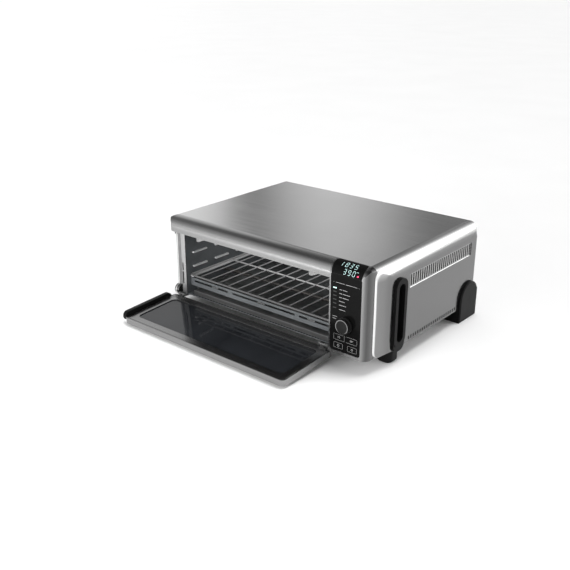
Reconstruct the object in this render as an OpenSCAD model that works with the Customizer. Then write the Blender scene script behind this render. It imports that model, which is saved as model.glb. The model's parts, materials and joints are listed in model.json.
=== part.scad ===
// Countertop toaster oven: drop-down door, slide-out crumb tray and rack,
// a control column with a dial on the right, and tall feet at the back.
// Inside this file X runs left to right, Y = 0 is the front seam of the flat
// top and grows to the back, and Z = 0 is the worktop. place() then moves the
// whole oven so that its origin is the middle of its footprint.

/* [Casing] */
// Width between the two side cap seams
body_w = 476; // [460:1:500]
// Depth from the front seam of the top to the back panel
body_d = 335; // [330:1:360]
// Height of the top above the worktop
body_h = 193; // [193:1:200]
// Radius of the rounded front edge of the top
nose_r = 22; // [20:1:23]
// Thickness of the sheet metal skins
skin = 1; // [0.8:0.1:1.5]
// How far each side cap bulges past its seam
cap_bulge = 8; // [6:1:9]
// Wall thickness of the moulded side caps
cap_wall = 2.5; // [2:0.1:3]

/* [Cavity] */
// Left inner wall of the cooking space
cav_x0 = -206; // [-208:1:-204]
// Ceiling of the cooking space
cav_z1 = 160; // [158:1:160]
// Back wall of the cooking space
cav_y1 = 300; // [298:1:302]
// Radius of the heater tubes
tube_r = 3.5; // [3:0.5:4]

/* [Door] */
// Angle between the closed door and the open door
door_open = 93; // [90:1:93]
// Thickness of the door
door_t = 12; // [11:1:12]
// Width of the door's metal rim
rim_w = 8.5; // [7:0.5:10]
// Radius of the hinge pins
pin_r = 2; // [1.5:0.5:2]
// Running clearance around pins and shafts
run_gap = 0.05; // [0.02:0.01:0.08]

/* [Tray and rack] */
// Height of the underside of the crumb tray
tray_z = 42; // [41.8:0.1:42.2]
// Front to back length of the crumb tray
tray_len = 300; // [280:1:300]
// Height of the rack's wires
rack_z = 71.5; // [71:0.5:72]
// Number of front to back wires in the rack
rack_wires = 13; // [9:1:15]

/* [Controls] */
// Height of the dial's axis
dial_z = 86; // [84:1:88]
// Radius of the dial's face
dial_r = 12.7; // [11:0.1:13]
// How far a button travels
key_travel = 1; // [0.5:0.1:1]

/* [Vents] */
// Number of tall slots in each side cap
vent_n = 29; // [20:1:29]
// Number of short slots along each side cap's lower edge
low_vent_n = 22; // [10:1:22]

/* [Hidden] */
$fn = 48;
eps = 0.01;
base_z = 27;                     // casing's underside above the worktop
cav_x1 = 152;                    // right inner wall of the cooking space
cav_z0 = 33;                     // floor of the cooking space
hw = body_w / 2;
side_x = hw + cap_bulge;
grip_x = side_x + 5.5;           // outer face of both grips
nose_z = body_h - nose_r;        // centre height of the rounded front edge
front_y = -nose_r;               // front plane of the door and the controls
nose_low = 163.5;                // lower edge of the front rail
col_x0 = 159.5;                  // left edge of the control column
col_z0 = 28;                     // lower edge of the control column
corner_r = 16;                   // upright front corners
edge_r = 15;                     // long top edges
edge_in = 12;                    // their centres inside the seams
seam_top = 187;                  // where they meet the side caps
back_y = body_d;                 // outer face of the back
foot_back = back_y + 8;          // the oven also stands on its back
base_t = 1.2;

hinge_y = -6;
hinge_z = 27;
door_x0 = -243;
door_x1 = 158;
door_z0 = 28;
door_z1 = 162;
door_y1 = front_y + door_t;      // inner face of the closed door
hinge_xs = [-222, 136];          // middles of the two hinges
ear_r = 3.8;

fas_x0 = 162;                    // control window in the column
fas_x1 = 225;
fas_z0 = 33.5;
fas_r = nose_r - 0.4;            // outer face of the fascia
fas_t = 2.2;
fas_back = -(fas_r - fas_t);     // back face of the fascia
dial_x = 194.5;
dial_y = -33;                    // face of the dial
keys = [                         // x, z, width, height of each button
    [181.7, 59.7, 23.6, 12.4],
    [208.1, 59.7, 23.6, 12.4],
    [180.5, 44.2, 20.4, 11.6],
    [209.3, 44.2, 20.4, 11.6]
];

fan_y = 180;
fan_z = 98;
tube_ys = [26, 100, 262];
low_tube_z = 57;
top_tube_z = 150;
tray_x0 = -190;
tray_x1 = 149.5;
tray_y0 = -4;
rack_x0 = cav_x0 + 2.5;
rack_x1 = cav_x1 - 2.5;
rack_d = 288;
rib_t = 3;
rib_w = 7;
foot_y = 310;                    // middle of each back foot
foot_r = 33;
foot_top = 78;
ring_y = 60.5;                   // middle of the right grip
ring_r = 17.5;
ring_z0 = 32;
ring_z1 = 160;

screw_r = 1.5;
screw_len = 5;
back_screws = [for (x = [-218, 0, 218], z = [44, 150]) [x, z]];

// The open door's lowest reach to the front, which closes the footprint
tip_y = hinge_y + (front_y - hinge_y) * cos(door_open)
    - (door_z1 - hinge_z) * sin(door_open);
inner_tip_y = hinge_y + (door_y1 - hinge_y) * cos(door_open)
    - (door_z1 - hinge_z) * sin(door_open);
origin_y = (min(tip_y, inner_tip_y) + foot_back) / 2;

// ---------------------------------------------------------------- helpers

module place() {
    translate([0, -origin_y, 0]) children();
}

// A box from its lowest to its highest corner
module block(a, b) {
    translate(a) cube(b - a);
}

// Extrudes a (y, z) outline from x0 to x1
module along_x(x0, x1) {
    translate([x0, 0, 0]) rotate([90, 0, 90]) linear_extrude(x1 - x0)
        children();
}

// Extrudes an (x, z) outline from y0 to y1
module along_y(y0, y1) {
    translate([0, y1, 0]) rotate([90, 0, 0]) linear_extrude(y1 - y0)
        children();
}

// A flat rectangle with round corners
module round_rect(a, b, r) {
    translate([a[0] + r, a[1]]) square([b[0] - a[0] - 2 * r, b[1] - a[1]]);
    translate([a[0], a[1] + r]) square([b[0] - a[0], b[1] - a[1] - 2 * r]);
    for (x = [a[0] + r, b[0] - r], y = [a[1] + r, b[1] - r])
        translate([x, y]) circle(r);
}

// A cylinder along X, and one along Y
module rod_x(x0, x1, y, z, r) {
    translate([x0, y, z]) rotate([0, 90, 0]) cylinder(h = x1 - x0, r = r);
}
module rod_y(x, y0, y1, z, r) {
    translate([x, y1, z]) rotate([90, 0, 0]) cylinder(h = y1 - y0, r = r);
}
module rod_z(x, y, z0, z1, r) {
    translate([x, y, z0]) cylinder(h = z1 - z0, r = r);
}

// Turns what is drawn for the closed door into the open door
module opened() {
    translate([0, hinge_y, hinge_z]) rotate([door_open, 0, 0])
        translate([0, -hinge_y, -hinge_z]) children();
}

// The (y, z) outline under the rounded front edge, grown inwards by t
module nose_outline(t, z_low, y_back) {
    r = nose_r - t;
    intersection() {
        translate([0, nose_z]) circle(r, $fn = 96);
        translate([-r, nose_z]) square([r, r]);
    }
    translate([-r, z_low]) square([r, nose_z - z_low]);
    if (y_back > 0) translate([0, z_low]) square([y_back, nose_z + r - z_low]);
}

// The (x, y) outline that rounds the upright front corners
module corner_outline(t, y_back) {
    r = corner_r - t;
    x = hw - t;
    for (s = [-1, 1]) translate([s * (hw - corner_r), front_y + corner_r])
        circle(r);
    translate([-x, front_y + corner_r]) square([2 * x, y_back - front_y - corner_r]);
    translate([-(hw - corner_r), front_y + t])
        square([2 * (hw - corner_r), corner_r]);
}

// The (x, z) outline that rounds the two long top edges; it reaches past the
// seams, where its users cut it off
module edge_outline(t, z_low) {
    flat = hw - edge_in;
    x = flat + edge_r - t;
    z = body_h - edge_r;
    for (s = [-1, 1]) translate([s * flat, z]) circle(edge_r - t);
    translate([-x, z_low]) square([2 * x, z - z_low]);
    translate([-flat, z_low]) square([2 * flat, body_h - t - z_low]);
}

// The solid front of the casing, t inside its outer face
module front_solid(t, x0, x1, z_low, y_back) {
    intersection() {
        along_x(x0, x1) nose_outline(t, z_low, y_back);
        translate([0, 0, z_low - 1]) linear_extrude(body_h) corner_outline(t, y_back);
        along_y(front_y - 1, y_back + 1) edge_outline(t, z_low - 1);
    }
}

// ----------------------------------------------------------------- casing

module top_cover() {
    color("#a4a5a6") difference() {
        intersection() {
            along_y(0, back_y) edge_outline(0, 165);
            along_x(-hw, hw) top_side_outline(0);
        }
        intersection() {
            along_y(-1, back_y) edge_outline(skin, 160);
            along_x(-hw + skin, hw - skin) translate([-1, 0]) top_side_outline(skin);
        }
    }
}

// The (y, z) outline of the top, with its rounded back edge
module top_side_outline(t) {
    r = 8 - t;
    y = back_y - t + (t > 0 ? 1 : 0);
    translate([y - r, body_h - t - r]) circle(r);
    translate([0, 160]) square([y - r, body_h - t - 160]);
    translate([0, 160]) square([y, body_h - t - r - 160]);
}

module front_rail() {
    color("#b9babb") difference() {
        front_solid(0, -hw, col_x0, nose_low, 0);
        difference() {
            front_solid(1.8, -hw - 1, col_x0 + 1, nose_low + 1.5, 1);
            // the return lip that the door closes under
            block([-hw, front_y, nose_low], [col_x0, -8, nose_low + 1.5]);
        }
    }
}

module control_window(gap) {
    along_y(front_y - 2, 0) round_rect(
        [fas_x0 + gap, fas_z0 + gap], [fas_x1 - gap, nose_z + 4], 5);
    translate([0, 0, nose_z - 3]) linear_extrude(nose_r + 10)
        round_rect([fas_x0 + gap, front_y - 2], [fas_x1 - gap, -1 - gap], 5);
}

module control_bezel() {
    wall = 2.2;
    color("#b4b5b6") difference() {
        front_solid(0, col_x0, hw, col_z0, 0);
        front_solid(wall, col_x0 + wall, hw, col_z0 + wall, 1);
        control_window(0);
    }
}

// A side cap from its seam, over a narrow and then a wide slope, to its face
module cap_shape(seam_x, out_x, t) {
    crest_x = hw + 0.375 * (out_x - hw);
    hull() {
        along_x(seam_x, seam_x + eps) cap_seam(t);
        along_x(crest_x - eps, crest_x) cap_crest(t);
    }
    hull() {
        along_x(crest_x - eps, crest_x) cap_crest(t);
        along_x(out_x - eps, out_x) cap_outline(
            [31 + t / 2, base_z + 1 + t], [back_y - 4 - t, 166 - t], 12 - t / 2);
    }
}

module cap_seam(t) {
    cap_outline([-4 + t, base_z + t], [back_y - t, seam_top - t], 16 - t);
}

module cap_crest(t) {
    cap_outline([-2 + t, base_z + 0.3 + t], [back_y - 1 - t, seam_top - 4 - t], 15 - t);
}

// A rectangle whose two front corners are round and whose back is squarer
module cap_outline(a, b, r) {
    q = 3;
    translate([a[0] + r, a[1] + r]) circle(r, $fn = 32);
    translate([a[0] + r, b[1] - r]) circle(r, $fn = 32);
    translate([b[0] - q, a[1]]) square([q, q]);
    translate([b[0] - q, b[1] - q]) circle(q, $fn = 16);
}

module side_cap() {
    vent_y0 = 99;
    vent_pitch = 7.4;
    difference() {
        cap_shape(hw, side_x, 0);
        difference() {
            cap_shape(hw - eps, side_x - cap_wall, cap_wall);
            // the recessed vent band keeps its wall
            block([side_x - cap_wall - 1, 88, 127], [side_x, 326, 163]);
        }
        // recess around the tall slots
        along_x(side_x - 1.5, side_x + 1) round_rect([93, 131], [312, 157], 3);
        for (i = [0:vent_n - 1]) translate([0, vent_y0 + i * vent_pitch, 0])
            along_x(hw + 1, side_x + 1) round_rect([-1.75, 133.5], [1.75, 155], 1.6);
        for (i = [0:low_vent_n - 1]) translate([0, vent_y0 + i * 7.8, 0])
            along_x(hw + 1, side_x + 1) round_rect([-1.7, 31], [1.7, 38.5], 1.6);
        // room for the back foot
        rod_x(hw - 1, side_x + 1, foot_y, foot_top - foot_r, foot_r + 1.5);
        block([hw - 1, foot_y - foot_r - 1.5, 0],
            [side_x + 1, back_y + 1, foot_top - foot_r]);
        block([hw - 1, foot_y, foot_top - foot_r - 1],
            [side_x + 1, back_y + 1, foot_top - 8]);
    }
}

module side_cap_right() {
    color("#b9bbbb") difference() {
        side_cap();
        along_x(hw - 1, side_x + 1) {
            ring_outline();
            tail_outline();
        }
    }
}

module side_cap_left() {
    boss_y = 5;
    boss_z = 31;
    color("#b9bbbb") union() {
        mirror([1, 0, 0]) difference() {
            side_cap();
            // the front edge steps back so that the door's grip fits
            block([hw - 1, -30, 0], [side_x + 1, 3, 144]);
            rod_x(hw - 1, side_x + 1, -4, 144, 7);
        }
        // inward return of the front edge
        block([-hw - 2, 3, base_z + 2], [-230, 5.5, 152]);
        // rounded housing at the lower end, over the hinge
        rod_x(-hw - 4, -232, boss_y, boss_z, 12);
        rod_x(-hw - 7, -hw - 4, boss_y, boss_z, 10.5);
    }
}

module base_pan() {
    color("#8f9193") difference() {
        union() {
            block([-hw + 1, 0, base_z], [hw - 1, back_y - 3, base_z + base_t]);
            block([-hw + 24, 0, base_z], [col_x0 - 1, base_t, cav_z0 - skin]);
            for (s = [-1, 1]) block(
                [s * (hw - 2) - 1, 20, base_z], [s * (hw - 2) + 1, 270, 31.5]);
        }
        for (x = [-150:50:200], y = [90:18:234]) translate([x, y, 0])
            linear_extrude(60) round_rect([-14, -2], [14, 2], 1.9);
        for (x = hinge_xs)
            rod_z(x, 15, base_z - 1, base_z + 5, screw_r + 0.1);
        // the hinge housing of the left cap
        rod_x(-hw, -231, 5, 31, 12.3);
    }
}

module back_panel() {
    vent_cols = 24;
    color("#85878a") difference() {
        along_y(back_y - 2 * skin, back_y - skin) round_rect(
            [-hw + skin + 0.1, base_z], [hw - skin - 0.1, body_h - 8.5], 8);
        for (i = [0:vent_cols - 1], z = [64, 100])
            translate([(i - (vent_cols - 1) / 2) * 13, 0, z])
                along_y(back_y - 5, back_y) round_rect([-2, 0], [2, 24], 1.9);
        rod_y(-180, back_y - 5, back_y, 52, 9);
        for (p = back_screws)
            rod_y(p[0], back_y - 5, back_y, p[1], screw_r + 0.1);
    }
}

module rear_bumpers() {
    color("#2a2b2c") for (x = [-150, 150]) difference() {
        along_y(back_y - skin, foot_back) round_rect([x - 24, 146], [x + 24, 162], 7.9);
        along_y(foot_back - 3, foot_back + 1) round_rect([x - 18, 151], [x + 18, 157], 2.9);
    }
}

module cord_gland() {
    color("#1f2021") difference() {
        union() {
            rod_y(-180, back_y - 6, back_y + 5, 52, 8.9);
            rod_y(-180, back_y - skin, back_y + 2, 52, 12);
            rod_y(-180, back_y - 8, back_y - 2 * skin, 52, 11);
        }
        rod_y(-180, back_y - 9, back_y + 6, 52, 3.5);
    }
}

module front_frame() {
    x0 = -217.5;
    y1 = -8 + skin;
    color("#a9abac") {
        difference() {
            block([x0, -8, cav_z0], [col_x0 - 1, y1, nose_low]);
            block([cav_x0, -9, cav_z0 - 1], [cav_x1, -5, cav_z1]);
            // slots for the door's latch
            for (z = [[53, 78], [81, 97]])
                block([x0 + 1.5, -9, z[0]], [x0 + 4.7, -5, z[1]]);
        }
        block([x0, y1, cav_z0], [x0 + skin, 8, nose_low]);
        block([x0 + skin, y1, cav_z1 + skin], [cav_x1, 6, nose_low]);
    }
}

module side_channel() {
    color("#9d9fa1") {
        block([-230, 8, cav_z0], [-216.5, 9.2, nose_low]);
        block([-230, 9.2, cav_z0], [-228.8, 17, nose_low]);
    }
}

module rear_feet() {
    color("#232425") for (s = [-1, 1]) mirror([s < 0 ? 1 : 0, 0, 0]) {
        zc = foot_top - foot_r;
        // the tall round-topped fin outside the casing
        difference() {
            union() {
                rod_x(hw + 0.2, grip_x - 1, foot_y, zc, foot_r);
                block([hw + 0.2, foot_y - foot_r, 0], [grip_x - 1, foot_back, zc]);
                block([hw + 0.2, foot_y, zc - 1], [grip_x - 1, foot_back, zc + 12]);
                rod_x(grip_x - 1 - eps, grip_x, foot_y, zc, foot_r - 2.5);
                block([grip_x - 1 - eps, foot_y - foot_r + 2.5, 2],
                    [grip_x, foot_back - 2.5, zc]);
            }
            block([hw, foot_back, 0], [grip_x + 1, foot_back + 30, 90]);
        }
        // the broad base under the casing
        block([208, foot_y - foot_r, 0], [hw + 0.2, foot_back, base_z]);
        block([hw - 12, back_y, 0], [hw + 0.2, foot_back, zc + 12]);
    }
}

module front_feet() {
    color("#232425") for (s = [-1, 1]) mirror([s < 0 ? 1 : 0, 0, 0])
        translate([0, 0, 3]) linear_extrude(base_z - 3)
            round_rect([211, 46], [242, 78], 11);
}

module foot_pads() {
    color("#111111") for (s = [-1, 1]) mirror([s < 0 ? 1 : 0, 0, 0])
        linear_extrude(3) round_rect([213.5, 48.5], [239.5, 75.5], 9);
}

module ring_outline() {
    round_rect([ring_y - ring_r, ring_z0], [ring_y + ring_r, ring_z1], ring_r - eps);
}

// The tail of the grip, which leads down to the front foot
module tail_outline() {
    round_rect([ring_y - ring_r, base_z - 3], [ring_y + ring_r, ring_z0 + 30], 14);
}

module right_grip() {
    color("#262727") difference() {
        union() {
            along_x(hw - 2, grip_x) ring_outline();
            along_x(hw, grip_x - 1.5) tail_outline();
        }
        // finger slot
        along_x(hw + 0.5, grip_x + 1) round_rect([ring_y - 9.5, ring_z0 + 10],
            [ring_y + 9.5, ring_z1 - 10], 9.5 - eps);
        // room for the foot and the pan below
        block([hw - 3, 30, 0], [242.2, 90, base_z + 1]);
    }
}

// ----------------------------------------------------------------- cavity

module cavity_floor() {
    color("#55585b") block([cav_x0 - skin, -6, cav_z0 - skin],
        [cav_x1 + skin, cav_y1 + skin, cav_z0]);
}

module cavity_ceiling() {
    color("#55585b") block([cav_x0 - skin, -6, cav_z1],
        [cav_x1 + skin, cav_y1 + skin, cav_z1 + skin]);
}

module cavity_side_left() {
    color("#5a5e62") difference() {
        block([cav_x0 - skin, -6, cav_z0], [cav_x0, cav_y1, cav_z1]);
        for (y = tube_ys, z = [low_tube_z, top_tube_z])
            rod_x(cav_x0 - 3, cav_x0 + 1, y, z, tube_r + 0.3);
    }
}

module cavity_side_right() {
    color("#5a5e62") difference() {
        block([cav_x1, -6, cav_z0], [cav_x1 + skin, cav_y1, cav_z1]);
        for (y = tube_ys, z = [low_tube_z, top_tube_z])
            rod_x(cav_x1 - 1, cav_x1 + 3, y, z, tube_r + 0.3);
        rod_x(cav_x1 - 1, cav_x1 + 3, fan_y, fan_z, 50);
        rod_x(cav_x1 - 1, cav_x1 + 3, 60, 136, 9);
    }
}

module cavity_back() {
    color("#4d5053") difference() {
        block([cav_x0 - skin, cav_y1, cav_z0],
            [cav_x1 + skin, cav_y1 + skin, cav_z1]);
        rod_y(-120, cav_y1 - 1, cav_y1 + 3, 132, 2.5);
    }
}

// Pressed runners: full-length ones under the rack, short ones above it
module rack_runners() {
    rib_levels = [85, 114];
    color("#a9abac") for (s = [0, 1]) {
        x0 = s == 0 ? cav_x0 : cav_x1 - rib_w;
        block([x0, 4, rack_z - 2.2 - rib_t], [x0 + rib_w, 294, rack_z - 2.2]);
        for (z = rib_levels, i = [0:3])
            block([x0 + (s == 0 ? 0 : 3), 11 + 62 * i, z],
                [x0 + 4 + (s == 0 ? 0 : 3), 49 + 62 * i, z + rib_t]);
    }
}

module tray_runners() {
    color("#8d8f91") for (x = [tray_x0 + 3, tray_x1 - 11])
        block([x, 0, cav_z0], [x + 8, 296, tray_z - 0.2]);
}

module insulation() {
    color("#d9cfb0") {
        block([-205, 12, cav_z1 + skin], [150, 296, 184]);
        block([-234, 20, 34.5], [-217, 298, 158]);
        block([-150, cav_y1 + skin + 0.5, 34], [150, 326, 158]);
    }
}

module heater_tubes(z) {
    color("#9c978f") for (y = tube_ys)
        rod_x(cav_x0 - 10, cav_x1 + 10, y, z, tube_r);
}

module upper_heaters() { heater_tubes(top_tube_z); }
module lower_heaters() { heater_tubes(low_tube_z); }

module heater_insulators() {
    color("#e9e5da") for (y = tube_ys, z = [low_tube_z, top_tube_z],
        x = [cav_x0 - skin - 6, cav_x1 + skin]) difference() {
            rod_x(x, x + 6, y, z, 6);
            rod_x(x - 1, x + 7, y, z, tube_r);
        }
}

// Slotted strip that shields the front lower tube
module heater_guard() {
    color("#8f9294") difference() {
        block([cav_x0, 4, 48.5], [cav_x1, 5.2, 65]);
        for (x0 = [-196, -92, 73]) along_y(3, 6) round_rect(
            [x0, 56.5], [x0 + (x0 < 0 ? (x0 < -100 ? 92 : 155) : 70), 60.5], 1.9);
    }
}

module heater_brackets() {
    color("#c9cbcc") {
        for (x = [-140, -20, 100]) difference() {
            block([x - 9, 5.2, 53], [x + 9, 31, 61]);
            rod_x(x - 10, x + 10, tube_ys[0], low_tube_z, tube_r);
            block([x - 7, 8, 52], [x + 7, 19, 62]);
        }
        for (x = [-169, 110]) difference() {
            union() {
                along_y(0, 1.2) polygon([[x - 12, cav_z1], [x + 12, cav_z1],
                    [x + 12, 154], [x - 6, 146], [x - 12, 146]]);
                block([x - 12, 0, cav_z1 - 1.2], [x + 12, 34, cav_z1]);
                block([x - 2, 22, 147], [x + 2, 30, cav_z1]);
            }
            rod_x(x - 13, x + 13, tube_ys[0], top_tube_z, tube_r);
        }
    }
}

module temp_probe() {
    color("#b9bbbc") {
        rod_y(-120, 262, cav_y1 + skin + 0.4, 132, 2.5);
        rod_y(-120, cav_y1 - 1.2, cav_y1, 132, 7);
    }
}

module lamp_lens() {
    color("#e8ecec") {
        rod_x(cav_x1 - 2, cav_x1, 60, 136, 12);
        rod_x(cav_x1 - eps, cav_x1 + 5, 60, 136, 8.9);
    }
}

module lamp_holder() {
    color("#d8d4c8") rod_x(cav_x1 + 5, cav_x1 + 26, 60, 136, 12);
}

// ------------------------------------------------------------ convection

module fan_grille() {
    color("#8f9294") difference() {
        union() {
            rod_x(cav_x1, cav_x1 + skin, fan_y, fan_z, 49.95);
            rod_x(cav_x1 + skin, cav_x1 + 2.5, fan_y, fan_z, 55);
        }
        for (ring = [1:4], k = [0:ring * 6 - 1])
            rotate_about_fan(k * 60 / ring)
                rod_x(cav_x1 - 1, cav_x1 + 4, fan_y, fan_z + ring * 10.5, 2.8);
    }
}

module rotate_about_fan(a) {
    translate([0, fan_y, fan_z]) rotate([a, 0, 0])
        translate([0, -fan_y, -fan_z]) children();
}

module fan_housing() {
    x0 = cav_x1 + 2.5;
    x1 = x0 + 24.5;
    color("#8c8f91") difference() {
        along_x(x0, x1) round_rect([fan_y - 58, fan_z - 58],
            [fan_y + 58, fan_z + 58], 8);
        along_x(x0 - 1, x1 - 1.2) round_rect([fan_y - 56.8, fan_z - 56.8],
            [fan_y + 56.8, fan_z + 56.8], 7);
        rod_x(x0, x1 + 1, fan_y, fan_z, 6);
    }
}

module fan_wheel() {
    color("#a3a5a6") difference() {
        union() {
            rod_x(158, 174, fan_y, fan_z, 9);
            rod_x(172, 173.2, fan_y, fan_z, 44);
            for (k = [0:7]) rotate_about_fan(k * 45)
                block([159, fan_y - 0.7, fan_z + 8], [172.2, fan_y + 0.7, fan_z + 43]);
        }
        rod_x(157, 175, fan_y, fan_z, 2.5);
    }
}

module fan_shaft() {
    color("#c5c7c8") rod_x(156, 224, fan_y, fan_z, 2.5);
}

module fan_motor() {
    x0 = cav_x1 + 27;
    color("#5b5148") difference() {
        union() {
            along_x(x0, x0 + 2) round_rect([fan_y - 32, fan_z - 32],
                [fan_y + 32, fan_z + 32], 4);
            along_x(x0 + 2, x0 + 20) round_rect([fan_y - 26, fan_z - 26],
                [fan_y + 26, fan_z + 26], 3);
            rod_x(x0 + 20, x0 + 34, fan_y, fan_z, 17);
        }
        rod_x(x0 - 1, x0 + 40, fan_y, fan_z, 2.5 + run_gap);
    }
}

module cooling_fan() {
    color("#3a3c3e") difference() {
        union() {
            rod_x(216, 223, fan_y, fan_z, 6);
            rod_x(216, 217, fan_y, fan_z, 26);
            for (k = [0:8]) rotate_about_fan(k * 40)
                block([216.5, fan_y - 0.6, fan_z + 5], [223, fan_y + 0.6, fan_z + 26]);
        }
        rod_x(215, 224, fan_y, fan_z, 2.5);
    }
}

// --------------------------------------------------------------- controls

module fascia() {
    color("#101112") difference() {
        intersection() {
            difference() {
                along_x(fas_x0, fas_x1) nose_outline(0.4, fas_z0, 1);
                along_x(fas_x0 - 1, fas_x1 + 1)
                    nose_outline(0.4 + fas_t, fas_z0 - 1, 2);
            }
            control_window(0.15);
        }
        rod_y(dial_x, front_y - 1, 0, dial_z, 4.2);
        for (k = keys) key_prism(k, 0.25, front_y - 1, 0);
    }
}

module key_prism(k, gap, y0, y1) {
    along_y(y0, y1) round_rect(
        [k[0] - k[2] / 2 - gap, k[1] - k[3] / 2 - gap],
        [k[0] + k[2] / 2 + gap, k[1] + k[3] / 2 + gap], 2);
}

module button(i) {
    k = keys[i];
    color("#161718") {
        key_prism(k, 0, front_y, fas_back + 0.3);
        key_prism(k, 0.9, fas_back + 0.1, fas_back + 1.2);
        rod_y(k[0], fas_back + 1, -16 - key_travel - 0.1, k[1], 2);
    }
}

module time_button() { button(0); }
module temp_button() { button(1); }
module power_button() { button(2); }
module light_button() { button(3); }

module display_module() {
    color("#202428") translate([0, 0, nose_z]) rotate([-42, 0, 0])
        block([168, -14.5, -12], [220, -8, 12]);
}

module control_board() {
    color("#1f5a34") {
        block([164, -13, 36], [223, -11.4, 160]);
        for (k = keys) block([k[0] - 3, -16, k[1] - 3], [k[0] + 3, -13, k[1] + 3]);
        block([172, -11.4, 110], [186, -9.4, 124]);
        block([196, -11.4, 128], [216, -8.4, 140]);
    }
}

module encoder_body() {
    color("#6d7072") difference() {
        block([dial_x - 6, -18.4, dial_z - 6], [dial_x + 6, -13, dial_z + 6]);
        rod_y(dial_x, -19, -12, dial_z, 3.5 + run_gap);
    }
}

module encoder_sleeve() {
    color("#c2c4c5") difference() {
        rod_y(dial_x, -22.9, -13.8, dial_z, 3.5);
        rod_y(dial_x, -24, -13, dial_z, 2 + run_gap);
    }
}

module knob_shaft() {
    color("#c2c4c5") rod_y(dial_x, -30, -13.9, dial_z, 2);
}

module knob() {
    color("#1b1c1d") translate([dial_x, dial_y, dial_z]) rotate([-90, 0, 0])
        difference() {
            rotate_extrude($fn = 96) difference() {
                union() {
                    square([dial_r, 8]);
                    translate([0, 7]) square([14.5, 3]);
                }
                // groove for the bright ring
                translate([dial_r - 1.5, -1]) square([3, 2]);
            }
            translate([0, 0, 3]) cylinder(h = 9, r = 2);
            // finger grooves
            for (k = [0:23]) rotate([0, 0, (k + 0.5) * 15])
                translate([dial_r + 0.35, 0, 2]) cylinder(h = 4, r = 0.8, $fn = 24);
        }
}

module knob_ring() {
    color("#d7d9da") translate([dial_x, dial_y, dial_z]) rotate([-90, 0, 0])
        rotate_extrude($fn = 96) translate([dial_r - 1.5, -0.4]) square([1.7, 1.4]);
}

module power_board() {
    color("#2b5f3a") {
        block([231, 90, 45], [232.6, 140, 150]);
        block([214, 98, 52], [231, 128, 84]);
        for (z = [98, 112, 126]) rod_x(219, 231, 110, z, 5);
        block([221, 120, 92], [231, 134, 132]);
    }
}

// ------------------------------------------------------------------- door

module hinge_brackets() {
    color("#9b9d9f") for (x = hinge_xs) {
        for (s = [-1, 1]) {
            x0 = x + (s < 0 ? -7.8 : 4.2);
            difference() {
                union() {
                    rod_x(x0, x0 + 3.6, hinge_y, hinge_z, ear_r);
                    block([x0, hinge_y, hinge_z - ear_r], [x0 + 3.6, 8, base_z - 1.2]);
                }
                rod_x(x0 - 1, x0 + 5, hinge_y, hinge_z, pin_r);
            }
        }
        difference() {
            block([x - 7.8, 1, base_z - 1.2], [x + 7.8, 22, base_z]);
            rod_z(x, 15, base_z - 2, base_z + 1, screw_r + 0.1);
        }
    }
}

module hinge_pins() {
    color("#c9cbcc") for (x = hinge_xs)
        rod_x(x - 8, x + 8, hinge_y, hinge_z, pin_r);
}

module door_frame() {
    color("#b6b8b9") opened() difference() {
        union() {
            difference() {
                along_y(front_y, door_y1)
                    round_rect([door_x0, door_z0], [door_x1, door_z1], 9);
                along_y(front_y - 1, door_y1 + 1) round_rect(
                    [door_x0 + rim_w, door_z0 + rim_w],
                    [door_x1 - rim_w, door_z1 - rim_w], 9);
            }
            for (x = hinge_xs) {
                rod_x(x - 4, x + 4, hinge_y, hinge_z, ear_r);
                block([x - 4, door_y1 - 2, door_z0], [x + 4, hinge_y, hinge_z + ear_r]);
            }
        }
        for (x = hinge_xs)
            rod_x(x - 5, x + 5, hinge_y, hinge_z, pin_r + run_gap);
    }
}

module door_pane(gap, y0, y1) {
    along_y(y0, y1) round_rect(
        [door_x0 + rim_w + gap, door_z0 + rim_w + gap],
        [door_x1 - rim_w - gap, door_z1 - rim_w - gap], 9 - gap);
}

module door_glass_outer() {
    color("#15181a") opened() door_pane(0.1, front_y + 0.4, front_y + 4);
}

module door_glass_inner() {
    color("#2a2e31") opened() door_pane(0.1, front_y + 6.4, door_y1 - 2);
}

module door_inner_frame() {
    border = 9;
    color("#141516") opened() difference() {
        door_pane(0.1, door_y1 - 2, door_y1 - 0.4);
        along_y(door_y1 - 3, door_y1) round_rect(
            [door_x0 + rim_w + border, door_z0 + rim_w + border],
            [door_x1 - rim_w - border, door_z1 - rim_w - border], 11);
    }
}

module door_grip() {
    color("#1d1e1f") opened() difference() {
        along_x(-grip_x, door_x0) round_rect([front_y, 38], [-3, 158], 9.4);
        along_x(-grip_x - 1, -grip_x + 5.5)
            round_rect([front_y + 4.5, 56], [-7.5, 140], 3.4);
    }
}

// A pan head screw: its head below Z = 0, its shank above
module screw() {
    difference() {
        union() {
            translate([0, 0, -1.8]) cylinder(h = 1.8, r = 3.4);
            translate([0, 0, -eps]) cylinder(h = screw_len, r = screw_r);
        }
        for (a = [0, 90]) rotate([0, 0, a])
            translate([-2.2, -0.4, -2]) cube([4.4, 0.8, 1]);
    }
}

module panel_screws() {
    color("#c7c9ca") {
        for (p = back_screws) translate([p[0], back_y - skin, p[1]])
            rotate([90, 0, 0]) screw();
        for (x = hinge_xs) translate([x, 15, base_z - 1.2]) screw();
    }
}

// ---------------------------------------------------------- tray and rack

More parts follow.
